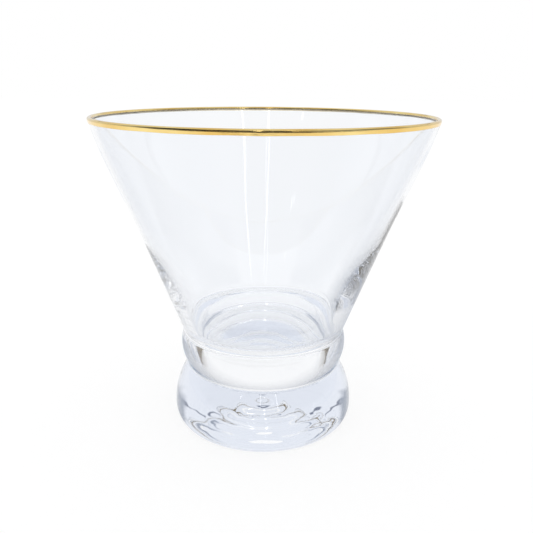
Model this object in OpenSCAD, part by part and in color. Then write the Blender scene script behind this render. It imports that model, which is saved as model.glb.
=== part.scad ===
// Stemless martini glass: a thin conical bowl on a rounded collar and a heavy solid foot,
// with a fired gold band over the lip. Millimetres, +Z up, origin where the axis meets the table.
// The three glass parts were fused hot, so they share their touching faces exactly.

/* [Bowl] */
// Outer diameter of the glass at the lip
rim_d = 112; // [100:1:124]
// Overall height of the glass, table to lip
height = 107; // [100:1:118]
// Outer diameter where the cone would meet the collar
waist_d = 56.8; // [54:0.2:58]
// Most that the upper wall swells beyond a straight cone
swell = 0.7; // [0:0.1:1.2]
// Part of the wall, from the lip down, that swells
swell_part = 0.5; // [0.3:0.05:0.7]
// Wall thickness at the lip
lip_t = 1.3; // [1:0.1:1.8]
// Wall thickness low in the bowl, measured level
low_t = 3; // [2.4:0.1:4]
// Height at which the wall starts to thicken
thin_z = 70; // [64:1:80]
// Height at which the wall reaches its full thickness
thick_z = 40; // [38:1:55]
// Height of the bowl's floor
floor_z = 31; // [30:0.5:32.5]
// Diameter of the flat part of the floor
floor_d = 26; // [20:1:32]
// Height over which the wall rounds into the floor
floor_rise = 6; // [5:0.5:9]
// Thickness of the bowl under its floor
floor_t = 5.2; // [4:0.1:6]

/* [Collar] */
// Height of the waist, between the bowl and the collar
waist_z = 33.5; // [33:0.1:34.5]
// Diameter of the collar at its fullest
collar_d = 59; // [58.6:0.1:60]
// Height of the collar's fullest level
collar_z = 28.3; // [27.5:0.1:29]
// Radius of the collar's rounded side
collar_round = 12.8; // [11:0.1:14]
// Radius of the soft corner at the waist
waist_fillet = 2.5; // [1:0.1:3]

/* [Foot] */
// Radius of the soft corner in the groove, between the collar and the foot
groove_fillet = 1.6; // [0.8:0.1:2.2]
// Diameter of the foot at its fullest
foot_d = 64.8; // [63:0.2:67]
// Height of the foot's fullest level
foot_z = 4.7; // [4:0.1:6]
// Radius of the foot's rounded side
foot_round = 25.8; // [24:0.1:28]
// Outer diameter of the ring that the glass stands on
stand_d = 60.4; // [58:0.2:62]
// Diameter of the shallow hollow under the foot
hollow_d = 57; // [44:0.5:57.5]
// Depth of that hollow
hollow_h = 2; // [0.5:0.1:3]

/* [Gold] */
// Height of the band on the outside
gold_out = 1.6; // [1.2:0.1:3]
// Height of the band on the inside
gold_in = 0.7; // [0.6:0.1:2]
// Thickness of the band
gold_t = 0.1; // [0.05:0.01:0.2]

/* [Hidden] */

$fn = 96;
arc_step = 6;         // degrees between the points of a tight curve
wall_steps = 24;      // points down each side of the wall
corner_steps = 14;    // points round the bowl's floor, and round the joint under it
corner_pull = 0.55;   // share of the way to the corner that a rounded curve is drawn
joint_lead = 6;       // inward run of the joint from the waist before it turns level
glass_tint = [0.86, 0.91, 0.95, 0.35];
gold_tint = [0.85, 0.65, 0.27];

rim_r = rim_d / 2;
waist_r = waist_d / 2;
lip_r = lip_t / 2;

// The cone: radius lost for each millimetre down, and its lean from upright
cone_slope = (rim_r - waist_r) / (height - waist_z);
cone_lean = atan(cone_slope);

// The swell follows u(1-u)^2, which peaks at 4/27 and joins the cone smoothly at u = 1
swell_gain = swell * 27 / 4;
swell_z = height - swell_part * (height - waist_z);
lip_slope = cone_slope - swell_gain / (height - swell_z);
lip_lean = atan(lip_slope);
lip_c = [rim_r - lip_r, height - lip_r];
lip_out_z = lip_c[1] - lip_r * sin(lip_lean);
lip_in_z = lip_c[1] + lip_r * sin(lip_lean);

// ---- Points and arcs in the radius-height plane ----

function polar(c, r, a) = [c[0] + r * cos(a), c[1] + r * sin(a)];

// Points on an arc from angle a to angle b, both ends included
function arc(c, r, a, b) =
    let (n = max(2, ceil(abs(b - a) / arc_step)))
    [for (i = [0:n]) polar(c, r, a + (b - a) * i / n)];

function angle_to(from, to) = atan2(to[1] - from[1], to[0] - from[0]);

// Points on a curve from a to b that rounds off the corner between them
function rounded(a, corner, b) =
    let (p = a + corner_pull * (corner - a), q = b + corner_pull * (corner - b))
    [for (i = [0:corner_steps]) let (t = i / corner_steps, u = 1 - t)
        u * u * u * a + 3 * u * u * t * p + 3 * u * t * t * q + t * t * t * b];

function smooth(u) = let (v = min(max(u, 0), 1)) v * v * (3 - 2 * v);

// ---- Bowl wall ----

function swell_at(z) =
    let (u = min(max((height - z) / (height - swell_z), 0), 1))
    swell_gain * u * (1 - u) * (1 - u);

// The cone line is set so that the swelling wall leaves the lip's round on its tangent
lip_out_r = lip_c[0] + lip_r * cos(lip_lean);
cone_r0 = lip_out_r - swell_at(lip_out_z) - cone_slope * lip_out_z;

function outer_r(z) = cone_r0 + cone_slope * z + swell_at(z);

function wall_t(z) =
    let (thin = lip_t / cos(lip_lean))
    thin + (low_t - thin) * smooth((thin_z - z) / (thin_z - thick_z));

function inner_r(z) = outer_r(z) - wall_t(z);

// ---- Collar and foot, as circles that small fillets join ----

collar_c = [collar_d / 2 - collar_round, collar_z];
foot_c = [foot_d / 2 - foot_round, foot_z];

// Centre of the waist fillet: outside the cone line and outside the collar's round
waist_line = cone_r0 + waist_fillet / cos(cone_lean) - collar_c[0];
waist_reach = collar_round + waist_fillet;
quad_a = 1 + cone_slope * cone_slope;
quad_b = cone_slope * waist_line - collar_z;
quad_c = waist_line * waist_line + collar_z * collar_z - waist_reach * waist_reach;
waist_c_z = (-quad_b + sqrt(quad_b * quad_b - quad_a * quad_c)) / quad_a;
waist_c = [waist_line + collar_c[0] + cone_slope * waist_c_z, waist_c_z];

// Centre of the groove fillet: outside both rounds
groove_reach = [collar_round + groove_fillet, foot_round + groove_fillet];
groove_span = norm(collar_c - foot_c);
groove_along = (groove_reach[1] * groove_reach[1] - groove_reach[0] * groove_reach[0]
                + groove_span * groove_span) / (2 * groove_span);
groove_angle = angle_to(foot_c, collar_c) - acos(groove_along / groove_reach[1]);
groove_c = polar(foot_c, groove_reach[1], groove_angle);

// Where the parts meet: the innermost points of the two fillets
waist_p = [waist_c[0] - waist_fillet, waist_c[1]];
groove_p = [groove_c[0] - groove_fillet, groove_c[1]];

// ---- Floor of the bowl, and the dished joint under it where the collar is fused on ----

// The floor's corner is where the wall, carried straight on, would meet the floor
floor_top_z = floor_z + floor_rise;
floor_edge = [inner_r(floor_top_z), floor_top_z];
floor_corner = floor_edge - floor_rise * [cone_slope, 1];
floor_path = concat(rounded(floor_edge, floor_corner, [floor_d / 2, floor_z]), [[0, floor_z]]);

joint_z = floor_z - floor_t;
joint_corner = [waist_p[0] - joint_lead, joint_z];
joint_path = concat(rounded(waist_p, joint_corner, [floor_d / 2, joint_z]), [[0, joint_z]]);

// ---- Outlines ----

lip_path = arc(lip_c, lip_r, -lip_lean, 180 - lip_lean);

wall_out = let (low = waist_c[1] + waist_fillet * sin(cone_lean))
    [for (i = [0:wall_steps]) let (z = low + (lip_out_z - low) * i / wall_steps)
        [outer_r(z), z]];

wall_in = [for (i = [0:wall_steps])
    let (z = lip_in_z + (floor_top_z - lip_in_z) * i / wall_steps) [inner_r(z), z]];

waist_top = arc(waist_c, waist_fillet, 180, 180 - cone_lean);
waist_low = arc(waist_c, waist_fillet, angle_to(waist_c, collar_c) + 360, 180);
collar_side = arc(collar_c, collar_round, angle_to(collar_c, groove_c), angle_to(collar_c, waist_c));
groove_top = arc(groove_c, groove_fillet, 180, angle_to(groove_c, collar_c));
groove_low = arc(groove_c, groove_fillet, angle_to(groove_c, foot_c) + 360, 180);
foot_side = arc(foot_c, foot_round, 0, angle_to(foot_c, groove_c));

foot_roll = [for (a = [-90:arc_step:0])
    [stand_d / 2 + (foot_d - stand_d) / 2 * cos(a), foot_z + foot_z * sin(a)]];

// The hollow is a shallow dome, of the radius that its width and depth give
hollow_r = (pow(hollow_d / 2, 2) + pow(hollow_h, 2)) / (2 * hollow_h);
hollow_half = asin(hollow_d / 2 / hollow_r);
hollow_path = [for (i = [0:8]) polar([0, hollow_h - hollow_r], hollow_r, 90 - hollow_half * i / 8)];

// Outward offset of a path by t, along the normal at each point
function tangent_at(path, i) =
    path[min(i + 1, len(path) - 1)] - path[max(i - 1, 0)];
function offset_path(path, t) = [for (i = [0:len(path) - 1])
    let (d = tangent_at(path, i)) path[i] + t * [d[1], -d[0]] / norm(d)];
function reversed(path) = [for (i = [len(path) - 1:-1:0]) path[i]];

// ---- Parts ----

module turned(points) {
    rotate_extrude() polygon(points);
}

// Conical bowl: rounded lip, wall that thickens downward, flat floor with a broad rounded corner
module bowl() {
    color(glass_tint)
        turned(concat(waist_top, wall_out, lip_path, wall_in, floor_path,
                      reversed(joint_path)));
}

// Rounded collar: a solid disc, dished on top where the bowl is fused in
module collar() {
    color(glass_tint)
        turned(concat([[0, groove_p[1]]], groove_top, collar_side, waist_low, joint_path));
}

// Solid foot: full side, rolled lower edge, narrow standing ring round a shallow hollow
module foot() {
    color(glass_tint)
        turned(concat(hollow_path, foot_roll, foot_side, groove_low, [[0, groove_p[1]]]));
}

// Gold band: a thin skin over the lip, from the outside of the wall to the inside
module gold_rim() {
    outside = [for (i = [4:-1:1])
        let (z = height - gold_out + (lip_out_z - height + gold_out) * (4 - i) / 4)
        [outer_r(z), z]];
    inside = [for (i = [1:4])
        let (z = lip_in_z + (height - gold_in - lip_in_z) * i / 4) [inner_r(z), z]];
    under = concat(outside, lip_path, inside);
    color(gold_tint)
        turned(concat(under, reversed(offset_path(under, gold_t))));
}

bowl();
collar();
foot();
gold_rim();
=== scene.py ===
import math

import bpy
from mathutils import Matrix, Vector, noise


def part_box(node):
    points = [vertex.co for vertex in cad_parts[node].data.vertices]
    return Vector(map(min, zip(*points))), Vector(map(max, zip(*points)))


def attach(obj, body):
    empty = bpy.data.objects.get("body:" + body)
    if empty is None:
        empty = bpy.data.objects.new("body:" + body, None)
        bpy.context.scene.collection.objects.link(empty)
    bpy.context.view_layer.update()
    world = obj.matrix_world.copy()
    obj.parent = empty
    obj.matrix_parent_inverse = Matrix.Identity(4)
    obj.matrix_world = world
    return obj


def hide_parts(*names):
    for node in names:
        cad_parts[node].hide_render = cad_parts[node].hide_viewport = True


# Stemless martini glass. Lengths are in metres and each piece is turned about the +Z axis.
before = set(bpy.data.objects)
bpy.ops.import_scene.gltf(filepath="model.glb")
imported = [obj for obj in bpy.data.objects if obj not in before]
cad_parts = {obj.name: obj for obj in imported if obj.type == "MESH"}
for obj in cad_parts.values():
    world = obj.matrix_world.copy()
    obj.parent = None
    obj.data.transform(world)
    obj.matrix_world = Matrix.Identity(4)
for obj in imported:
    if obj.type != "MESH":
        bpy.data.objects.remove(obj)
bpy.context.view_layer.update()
MM = 0.001

# ---------------------------------------------------------------- sizes
rim_r, _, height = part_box("bowl")[1]
collar_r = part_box("collar")[1].x
foot_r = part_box("foot")[1].x

# Bowl: a cone that swells a little in its upper half, with a wall that thickens downward
cone_slope = 0.37551  # (56 - 28.4) / (107 - 33.5), as in the CAD
cone_lean = math.atan(cone_slope)
swell = 0.7 * MM
swell_gain = swell * 27 / 4
swell_run = 36.75 * MM  # the upper half of the cone
swell_z = height - swell_run
lip_r = 0.65 * MM
low_t = 3 * MM
thin_z = 70 * MM
thick_z = 40 * MM
floor_z = 31 * MM
floor_r = 13 * MM
floor_rise = 6 * MM
floor_t = 5.2 * MM
corner_pull = 0.55
joint_lead = 6 * MM

# Collar and foot
collar_z = 28.3 * MM
collar_round = 12.8 * MM
waist_fillet = 2.5 * MM
groove_fillet = 1.6 * MM
foot_z = 4.7 * MM
foot_round = 25.8 * MM
stand_r = 30.2 * MM
hollow_w = 28.5 * MM
hollow_h = 2.0 * MM

# Gold band: a skin set just into the glass, so that no light gets in under it
gold_out = 1.6 * MM
gold_in = 0.7 * MM
gold_t = 0.06 * MM
gold_set = 0.008 * MM

BAND_STEPS = 8  # points up the outside of the band

# How far the hot-worked glass strays from a true turned shape
UNEVEN = 0.45 * MM  # inner wall: thicker by this on the +X side, thinner on the other
INNER_WANDER = 0.09 * MM
OUTER_WANDER = 0.06 * MM
FOOT_WANDER = 0.05 * MM
WALL_FADE = 12 * MM  # run over which a wall's wander comes in
FOOT_FADE = 6 * MM
RIPPLE_R = 27 * MM  # radius at which the ripple under the foot ends
RIPPLE_FADE = 9 * MM

# Colours
FACE_TINT = (0.957, 0.968, 0.985)
# The edge colour is a painted shade: the glass colour goes towards it where the glass is seen
# edge-on
PAINTED_EDGE_SHADE = (0.0, 0.04, 0.12)
GOLD_DEEP = (0.84, 0.55, 0.16)
GOLD_PALE = (0.98, 0.78, 0.34)
UNDER_LIP = (0.6, 0.57, 0.54)
UNDER_BAND = (0.92, 0.84, 0.66)

SEGMENTS = 256
SAME_POINT = 1e-7
WELD_GAP = 1e-6  # keeps the two faces of a weld from lying in one another


# ---------------------------------------------------------------- points in the radius-height plane
def polar(c, r, a):
    return (c[0] + r * math.cos(a), c[1] + r * math.sin(a))


def steps(a, b, n):
    return [a + (b - a) * i / n for i in range(n + 1)]


def arc(c, r, a, b, step=1.5):
    n = max(2, math.ceil(abs(math.degrees(b - a)) / step))
    return [polar(c, r, t) for t in steps(a, b, n)]


def angle_to(p, q):
    return math.atan2(q[1] - p[1], q[0] - p[0])


def mix(a, b, t):
    return tuple(u + (v - u) * t for u, v in zip(a, b))


def rounded(a, corner, b, n=48):
    """A curve from a to b that rounds off the corner between them."""
    p, q = mix(a, corner, corner_pull), mix(b, corner, corner_pull)
    out = []
    for t in steps(0, 1, n):
        ap, pq, qb = mix(a, p, t), mix(p, q, t), mix(q, b, t)
        out.append(mix(mix(ap, pq, t), mix(pq, qb, t), t))
    return out


def smooth(u):
    v = min(max(u, 0.0), 1.0)
    return v * v * (3 - 2 * v)


def drop(path, d):
    return [(r, z - d) for r, z in path]


# Lip and wall
lip_slope = cone_slope - swell_gain / (height - swell_z)
lip_lean = math.atan(lip_slope)
lip_c = (rim_r - lip_r, height - lip_r)
lip_out_z = lip_c[1] - lip_r * math.sin(lip_lean)
lip_in_z = lip_c[1] + lip_r * math.sin(lip_lean)


def swell_at(z):
    u = min(max((height - z) / (height - swell_z), 0), 1)
    return swell_gain * u * (1 - u) ** 2


cone_r0 = lip_c[0] + lip_r * math.cos(lip_lean) - swell_at(lip_out_z) - cone_slope * lip_out_z


def outer_r(z):
    return cone_r0 + cone_slope * z + swell_at(z)


def inner_r(z):
    thin = 2 * lip_r / math.cos(lip_lean)
    return outer_r(z) - thin - (low_t - thin) * smooth((thin_z - z) / (thin_z - thick_z))


# Rounds of the collar and the foot, and the small fillets that join them
collar_c = (collar_r - collar_round, collar_z)
foot_c = (foot_r - foot_round, foot_z)
waist_line = cone_r0 + waist_fillet / math.cos(cone_lean) - collar_c[0]
qa = 1 + cone_slope**2
qb = cone_slope * waist_line - collar_z
qc = waist_line**2 + collar_z**2 - (collar_round + waist_fillet) ** 2
waist_cz = (-qb + math.sqrt(qb * qb - qa * qc)) / qa
waist_c = (waist_line + collar_c[0] + cone_slope * waist_cz, waist_cz)
reach0, reach1 = collar_round + groove_fillet, foot_round + groove_fillet
span = math.dist(collar_c, foot_c)
along = (reach1**2 - reach0**2 + span**2) / (2 * span)
groove_c = polar(foot_c, reach1, angle_to(foot_c, collar_c) - math.acos(along / reach1))
waist_p = (waist_c[0] - waist_fillet, waist_c[1])
groove_p = (groove_c[0] - groove_fillet, groove_c[1])

# Outlines
HALF = math.pi / 2
low_z = waist_c[1] + waist_fillet * math.sin(cone_lean)
waist_top = arc(waist_c, waist_fillet, math.pi, math.pi - cone_lean)
wall_out = [(outer_r(z), z) for z in steps(low_z, lip_out_z, 110)]
lip = arc(lip_c, lip_r, -lip_lean, math.pi - lip_lean, 8)
floor_top = floor_z + floor_rise
wall_in = [(inner_r(z), z) for z in steps(lip_in_z, floor_top, 110)]
corner = (inner_r(floor_top) - cone_slope * floor_rise, floor_z)
bowl_floor = rounded((inner_r(floor_top), floor_top), corner, (floor_r, floor_z))
bowl_floor += [(floor_r * u, floor_z) for u in (0.85, 0.7, 0.5, 0.3, 0.1, 0)]
joint_z = floor_z - floor_t
joint = rounded(waist_p, (waist_p[0] - joint_lead, joint_z), (floor_r, joint_z))
joint += [(floor_r * u, joint_z) for u in (0.7, 0.4, 0.15, 0)]
disc = [(groove_p[0] * u, groove_p[1]) for u in (0, 0.1, 0.3, 0.55, 0.8, 1)]
collar_side = arc(collar_c, collar_round, angle_to(collar_c, groove_c), angle_to(collar_c, waist_c))
waist_low = arc(waist_c, waist_fillet, angle_to(waist_c, collar_c) + 2 * math.pi, math.pi)
groove_top = arc(groove_c, groove_fillet, math.pi, angle_to(groove_c, collar_c), 4)
groove_low = arc(groove_c, groove_fillet, angle_to(groove_c, foot_c) + 2 * math.pi, math.pi, 4)
foot_side = arc(foot_c, foot_round, 0, angle_to(foot_c, groove_c), 1)
foot_roll = [(stand_r + (foot_r - stand_r) * math.cos(a), foot_z + foot_z * math.sin(a))
             for a in steps(-HALF, 0, 24)]
hollow_r = (hollow_w**2 + hollow_h**2) / (2 * hollow_h)
hollow_half = math.asin(hollow_w / hollow_r)
hollow = [polar((0, hollow_h - hollow_r), hollow_r, HALF - hollow_half * u) for u in steps(0, 1, 36)]


# ---------------------------------------------------------------- turned pieces
def waves(r, z, t, size, seed):
    """Smooth noise between about -1 and 1 that closes on itself round the axis."""
    return noise.noise(Vector((r * math.cos(t) / size, r * math.sin(t) / size, z / size + seed)))


def fade(z, low, high, run):
    return smooth((z - low) / run) * smooth((high - z) / run)


def blown(r, z, t, side):
    """How far the hot-worked glass strays outward and upward from a true turned shape."""
    if side == "in":
        keep = fade(z, floor_z + 1 * MM, height - 1 * MM, WALL_FADE)
        uneven = UNEVEN * smooth((88 * MM - z) / (40 * MM)) * math.cos(t)
        return keep * (INNER_WANDER * waves(r, z * 0.35, t, 15 * MM, 3.1) - uneven), 0.0
    if side == "out":
        keep = fade(z, waist_p[1] + 1 * MM, height - 1 * MM, WALL_FADE)
        return keep * OUTER_WANDER * waves(r, z * 0.5, t, 19 * MM, 8.7), 0.0
    if side == "foot":
        keep = fade(z, foot_z, groove_p[1], FOOT_FADE)
        return keep * FOOT_WANDER * waves(r, z, t, 17 * MM, 5.3), 0.0
    if side == "under":
        keep = smooth((RIPPLE_R - r) / RIPPLE_FADE)
        rings = 0.05 * math.cos(1.2 * r / MM)
        swirls = 0.12 * waves(r, 0, t, 8 * MM, 1.3) + 0.05 * waves(r, 0, t, 3 * MM, 4.6)
        return 0.0, keep * MM * (rings + swirls)
    return 0.0, 0.0


def depth_at(z, t, side):
    """How much painted shade a point takes, from 0 to 1, darkening the glass where it is seen
    edge-on.
    The shade is deeper low down, where the glass is thick, and on the bowl's +X side, whose wall is
    the thicker one."""
    if side in ("foot", "under", "roll", "floor"):
        return 0.35
    if z < floor_z:
        return 1.0
    return 0.12 + 0.88 * smooth((80 * MM - z) / (40 * MM)) * (0.5 + 0.5 * math.cos(t))


def solid_of(name, verts, faces, slots=None):
    mesh = bpy.data.meshes.new(name)
    mesh.from_pydata(verts, [], faces)
    if slots:
        mesh.polygons.foreach_set("material_index", slots)
    mesh.polygons.foreach_set("use_smooth", [True] * len(faces))
    mesh.update()
    ob = bpy.data.objects.new(name, mesh)
    bpy.context.scene.collection.objects.link(ob)
    return ob


def point_value(ob, name, values):
    """Stores one number for each vertex, for the materials to read."""
    ob.data.attributes.new(name, "FLOAT", "POINT").data.foreach_set("value", values)


def lathe(name, runs):
    """A closed turned solid from runs of (points, material slot, side), joined end to end."""
    points, slots = [], []
    for path, slot, side in runs:
        for p in path:
            if points and math.dist(p, points[-1][0]) < SAME_POINT:
                continue
            if points:
                slots.append(slot)
            points.append((p, side))
    verts, rings, depth = [], [], []
    for (r, z), side in points:
        first = len(verts)
        if r < SAME_POINT:
            verts.append((0, 0, z + blown(0, z, 0, side)[1]))
            depth.append(depth_at(z, 0, side))
            rings.append([first] * SEGMENTS)
            continue
        for k in range(SEGMENTS):
            t = 2 * math.pi * k / SEGMENTS
            out, up = blown(r, z, t, side)
            verts.append(((r + out) * math.cos(t), (r + out) * math.sin(t), z + up))
            depth.append(depth_at(z, t, side))
        rings.append(list(range(first, first + SEGMENTS)))
    faces, face_slots = [], []
    for a, b, slot in zip(rings, rings[1:], slots):
        for k in range(SEGMENTS):
            j = (k + 1) % SEGMENTS
            face = (a[k], a[j], b[j], b[k])
            faces.append(tuple(dict.fromkeys(face)))
            face_slots.append(slot)
    ob = solid_of(name, verts, faces, face_slots)
    # The amount of painted edge-on shade at each point, read by the glass materials
    point_value(ob, "depth", depth)
    return ob


GLASS, WELD = 0, 1
bowl = lathe("bowl_glass", [
    (joint[::-1], WELD, "weld"),
    (waist_top, GLASS, "waist"),
    (wall_out, GLASS, "out"),
    (lip, GLASS, "lip"),
    (wall_in, GLASS, "in"),
    (bowl_floor, GLASS, "floor"),
])
collar = lathe("collar_glass", [
    (disc, WELD, "weld"),
    (groove_top + collar_side + waist_low, GLASS, "collar"),
    (drop(joint, WELD_GAP), WELD, "weld"),
])
foot = lathe("foot_glass", [
    (hollow, GLASS, "under"),
    (foot_roll, GLASS, "roll"),
    (foot_side, GLASS, "foot"),
    (groove_low, GLASS, "groove"),
    (drop(disc[::-1], WELD_GAP), WELD, "weld"),
])


def offset(path, t):
    out = []
    for i, p in enumerate(path):
        a, b = path[max(i - 1, 0)], path[min(i + 1, len(path) - 1)]
        n = math.dist(a, b)
        out.append((p[0] + t * (b[1] - a[1]) / n, p[1] - t * (b[0] - a[0]) / n))
    return out


def band(name):
    """The gold skin over the lip. Its two edges wander a little, as a brushed line does."""
    verts, faces = [], []
    for k in range(SEGMENTS):
        t = 2 * math.pi * k / SEGMENTS
        low = gold_out + 0.09 * MM * waves(rim_r, 0, t, 9 * MM, 1.7)
        inside = gold_in + 0.07 * MM * waves(rim_r, 0, t, 8 * MM, 6.2)
        under = [(outer_r(z), z) for z in steps(height - low, lip_out_z, BAND_STEPS)][:-1] + lip
        under += [(inner_r(z), z) for z in steps(lip_in_z, height - inside, 4)][1:]
        ring = offset(under, -gold_set) + offset(under, gold_t)[::-1]
        verts += [(r * math.cos(t), r * math.sin(t), z) for r, z in ring]
    count = len(verts) // SEGMENTS
    for k in range(SEGMENTS):
        a, b = k * count, (k + 1) % SEGMENTS * count
        for i in range(count):
            h = (i + 1) % count
            faces.append((a + i, a + h, b + h, b + i))
    ob = solid_of(name, verts, faces)
    places = [i % count for i in range(len(verts))]
    point_value(ob, "lip_under", [float(BAND_STEPS <= i < count // 2) for i in places])
    point_value(ob, "band_under", [float(i < BAND_STEPS) for i in places])
    return ob


gold = band("gold_band")


# ---------------------------------------------------------------- materials
def show(tree, shader):
    tree.links.new(shader, tree.nodes["Material Output"].inputs["Surface"])


def material(name):
    m = bpy.data.materials.new(name)
    m.use_nodes = True
    tree = m.node_tree
    return m, tree, tree.nodes["Principled BSDF"]


def set_inputs(node, **values):
    for key, value in values.items():
        node.inputs[key.replace("_", " ")].default_value = value


def noise_node(tree, scale, detail, stretch=(1, 1, 1)):
    place = tree.nodes.new("ShaderNodeTexCoord")
    turn = tree.nodes.new("ShaderNodeMapping")
    turn.inputs["Scale"].default_value = stretch
    cloud = tree.nodes.new("ShaderNodeTexNoise")
    set_inputs(cloud, Scale=scale, Detail=detail, Roughness=0.5)
    tree.links.new(place.outputs["Object"], turn.inputs["Vector"])
    tree.links.new(turn.outputs["Vector"], cloud.inputs["Vector"])
    return cloud


def to_range(tree, value, low, high, start=0.3, end=0.7):
    node = tree.nodes.new("ShaderNodeMapRange")
    set_inputs(node, From_Min=start, From_Max=end, To_Min=low, To_Max=high)
    tree.links.new(value, node.inputs["Value"])
    return node.outputs["Result"]


def bump(tree, value, strength, distance, shader):
    node = tree.nodes.new("ShaderNodeBump")
    set_inputs(node, Strength=strength, Distance=distance)
    tree.links.new(value, node.inputs["Height"])
    tree.links.new(node.outputs["Normal"], shader.inputs["Normal"])


def named_value(tree, name):
    node = tree.nodes.new("ShaderNodeAttribute")
    node.attribute_name = name
    return node.outputs["Fac"]


def blend(tree, amount, first, second):
    """A colour between two others. Each is a colour or another node's output."""
    node = tree.nodes.new("ShaderNodeMix")
    node.data_type = "RGBA"
    tree.links.new(amount, node.inputs["Factor"])
    for socket, value in ((node.inputs[6], first), (node.inputs[7], second)):
        if isinstance(value, tuple):
            socket.default_value = (*value, 1)
        else:
            tree.links.new(value, socket)
    return node.outputs[2]


def clear_glass(name, start):
    """Clear glass with a painted shade: its colour darkens where it is seen edge-on, as far as its
    per-point shade value lets it.
    """
    m, tree, shader = material(name)
    set_inputs(shader, IOR=1.5, Transmission_Weight=1, Roughness=0.0)
    facing = tree.nodes.new("ShaderNodeLayerWeight")
    facing.inputs["Blend"].default_value = 0.5
    amount = tree.nodes.new("ShaderNodeMath")
    amount.operation = "MULTIPLY"
    edge_on = to_range(tree, facing.outputs["Facing"], 0, 1, start, 0.9)
    tree.links.new(edge_on, amount.inputs[0])
    tree.links.new(named_value(tree, "depth"), amount.inputs[1])
    # Painted shade: the glass colour darkens towards the edge colour where it is seen edge-on
    tint = blend(tree, amount.outputs[0], FACE_TINT, PAINTED_EDGE_SHADE)
    tree.links.new(tint, shader.inputs["Base Color"])
    cords = noise_node(tree, 70, 1.5, (1, 1, 0.3))
    bump(tree, cords.outputs["Fac"], 0.12, 0.0002, shader)
    return m


def glass_weld():
    m, tree, shader = material("glass_weld")
    tree.nodes.remove(shader)
    through = tree.nodes.new("ShaderNodeBsdfTransparent")
    show(tree, through.outputs["BSDF"])
    return m


def fired_gold():
    m, tree, shader = material("fired_gold")
    set_inputs(shader, Metallic=1)
    thin = noise_node(tree, 60, 3, (1, 1, 2.5))
    tint = blend(tree, to_range(tree, thin.outputs["Fac"], 0, 1), GOLD_DEEP, GOLD_PALE)
    tint = blend(tree, named_value(tree, "lip_under"), tint, UNDER_LIP)
    tint = blend(tree, named_value(tree, "band_under"), tint, UNDER_BAND)
    tree.links.new(tint, shader.inputs["Base Color"])
    wear = noise_node(tree, 350, 4)
    tree.links.new(to_range(tree, wear.outputs["Fac"], 0.07, 0.2), shader.inputs["Roughness"])
    brushed = noise_node(tree, 220, 3, (1, 1, 6))
    bump(tree, brushed.outputs["Fac"], 0.25, 0.0001, shader)
    return m


weld = glass_weld()
glass = (
    (bowl, "bowl", clear_glass("bowl_glass", 0.42)),
    (collar, "collar", clear_glass("collar_glass", 0.25)),
    (foot, "foot", clear_glass("foot_glass", 0.6)),
)
for piece, node, clear in glass:
    piece.data.materials.append(clear)
    piece.data.materials.append(weld)
    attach(piece, "root")
    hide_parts(node)
gold.data.materials.append(fired_gold())
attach(gold, "root")
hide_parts("gold_rim")


# ---------------------------------------------------------------- stage
def glow(name, color, strength):
    """A light that fades out where the card's own "edge" value falls to nought."""
    m, tree, shader = material(name)
    tree.nodes.remove(shader)
    light = tree.nodes.new("ShaderNodeEmission")
    set_inputs(light, Color=(*color, 1), Strength=strength)
    clear = tree.nodes.new("ShaderNodeBsdfTransparent")
    both = tree.nodes.new("ShaderNodeMixShader")
    tree.links.new(named_value(tree, "edge"), both.inputs[0])
    tree.links.new(clear.outputs["BSDF"], both.inputs[1])
    tree.links.new(light.outputs["Emission"], both.inputs[2])
    show(tree, both.outputs["Shader"])
    return m


def hide_from_camera(ob, reflected=True, refracted=True):
    """Leaves a card to be seen only in reflections, only through the glass, or both."""
    ob.visible_camera = False
    ob.visible_diffuse = False
    ob.visible_shadow = False
    ob.visible_glossy = reflected
    ob.visible_transmission = refracted


CARD_Z = 60 * MM  # level of the middle of every curved card


def card(name, radius, az, el, m, soft=(0, 0), cells=(72, 12), **seen):
    """A curved card round the glass. Azimuth 0 is on the camera's side; angles are in degrees."""
    verts, faces, edge = [], [], []
    for a in steps(*az, cells[0]):
        for e in steps(*el, cells[1]):
            t, u = math.radians(a), math.radians(e)
            flat = radius * math.cos(u)
            verts.append((flat * math.sin(t), -flat * math.cos(t), CARD_Z + radius * math.sin(u)))
            side = min(a - az[0], az[1] - a) / soft[0] if soft[0] else 1
            rise = min(e - el[0], el[1] - e) / soft[1] if soft[1] else 1
            edge.append(smooth(side) * smooth(rise))
    wide = cells[1] + 1
    for i in range(cells[0]):
        for k in range(cells[1]):
            c = i * wide + k
            faces.append((c, c + 1, c + 1 + wide, c + wide))
    ob = solid_of(name, verts, faces)
    point_value(ob, "edge", edge)
    ob.data.materials.append(m)
    hide_from_camera(ob, **seen)


world = bpy.data.worlds.new("studio")
bpy.context.scene.world = world
world.use_nodes = True
set_inputs(world.node_tree.nodes["Background"], Color=(1, 1, 1, 1), Strength=1.0)

FLOOR_Z = -0.03 * MM  # just under the standing ring, so that the two faces do not fight


def sheet(name, x, y, z):
    return solid_of(name, [(x[0], y[0], z), (x[1], y[0], z), (x[1], y[1], z), (x[0], y[1], z)],
                    [(0, 1, 2, 3)])


floor = sheet("floor", (-3, 3), (-3, 3), FLOOR_Z)
table, _, shader = material("table")
set_inputs(shader, Base_Color=(0.2, 0.2, 0.2, 1), Roughness=0.6, Specular_IOR_Level=0.0,
           Emission_Color=(1, 1, 1, 1), Emission_Strength=0.82)
floor.data.materials.append(table)

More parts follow.
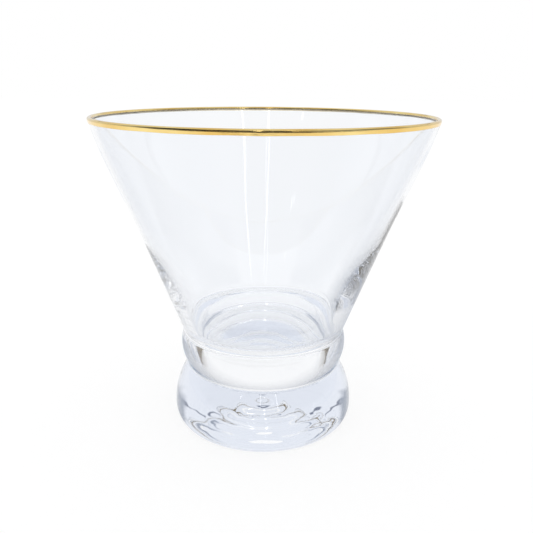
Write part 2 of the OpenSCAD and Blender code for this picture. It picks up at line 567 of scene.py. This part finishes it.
# A pale tent of light. The camera's side is dark in reflections and pale through the glass.
tent = glow("tent", (0.80, 0.835, 0.91), 1.0)
card("tent_wall", 2.2, (-180, 180), (-1, 89.9), tent, cells=(96, 24))
shade = glow("shade", (0.5, 0.55, 0.65), 0.5)
card("camera_side", 1.6, (-120, 120), (4, 48), shade, soft=(45, 8), refracted=False)
fill = glow("fill", (0.97, 0.98, 1), 1.0)
card("camera_fill", 1.7, (-60, 60), (-1, 60), fill, soft=(15, 0), reflected=False)
black = glow("black", (0.5, 0.5, 0.55), 0.04)
card("camera_flag", 1.4, (-85, 30), (-2, 52), black, soft=(14, 10), refracted=False)
# A seam in the far side of the tent, which the foot shows as thin lines
line = glow("line", (0.3, 0.35, 0.5), 0.5)
card("tent_seam", 2.0, (100, 260), (21, 23), line, soft=(10, 0.8))
# Narrow strips: the upright highlights in the bowl
strip = glow("strip", (1, 1, 1), 4.0)
card("strip_left", 1.2, (18.5, 20.5), (15, 60), strip, soft=(0.7, 4))
card("strip_middle", 1.2, (-4.2, -2.4), (15, 60), strip, soft=(0.6, 4))
card("strip_short", 1.2, (-33, -31.5), (29, 33), strip, soft=(0.5, 1))
# A dark mat in front of the glass, which the outside of the gold reflects
flag = sheet("table_flag", (-1.2, 0.6), (-1.3, -0.23), 0.2 * MM)
point_value(flag, "edge", [1.0] * 4)
flag.data.materials.append(black)
hide_from_camera(flag, refracted=False)
# Low blue-grey cards at both sides, which darken the edges of the thick glass
dusk = glow("dusk", (0.5, 0.6, 0.8), 0.45)
card("low_left", 1.5, (-140, -40), (2, 26), dusk, soft=(10, 5), reflected=False)
card("low_right", 1.5, (34, 140), (2, 26), dusk, soft=(10, 5), reflected=False)

# ---------------------------------------------------------------- camera
lens = bpy.data.cameras.new("camera")
camera = bpy.data.objects.new("camera", lens)
bpy.context.scene.collection.objects.link(camera)
lens.sensor_width = 36
lens.lens = 40.4
pitch, roll = math.radians(17.6), math.radians(0.42)
away = 3.6 * rim_r
above = 0.213 * rim_r
aside = 1 * MM
camera.matrix_world = (Matrix.Translation((aside, -away, height + above))
                       @ Matrix.Rotation(HALF - pitch, 4, "X") @ Matrix.Rotation(roll, 4, "Z"))
scene = bpy.context.scene
scene.camera = camera
scene.view_settings.view_transform = "Standard"
BOUNCES = 64  # light trapped in the thick glass goes black with fewer
scene.cycles.max_bounces = BOUNCES
scene.cycles.transmission_bounces = BOUNCES
scene.cycles.glossy_bounces = BOUNCES
scene.cycles.transparent_max_bounces = BOUNCES
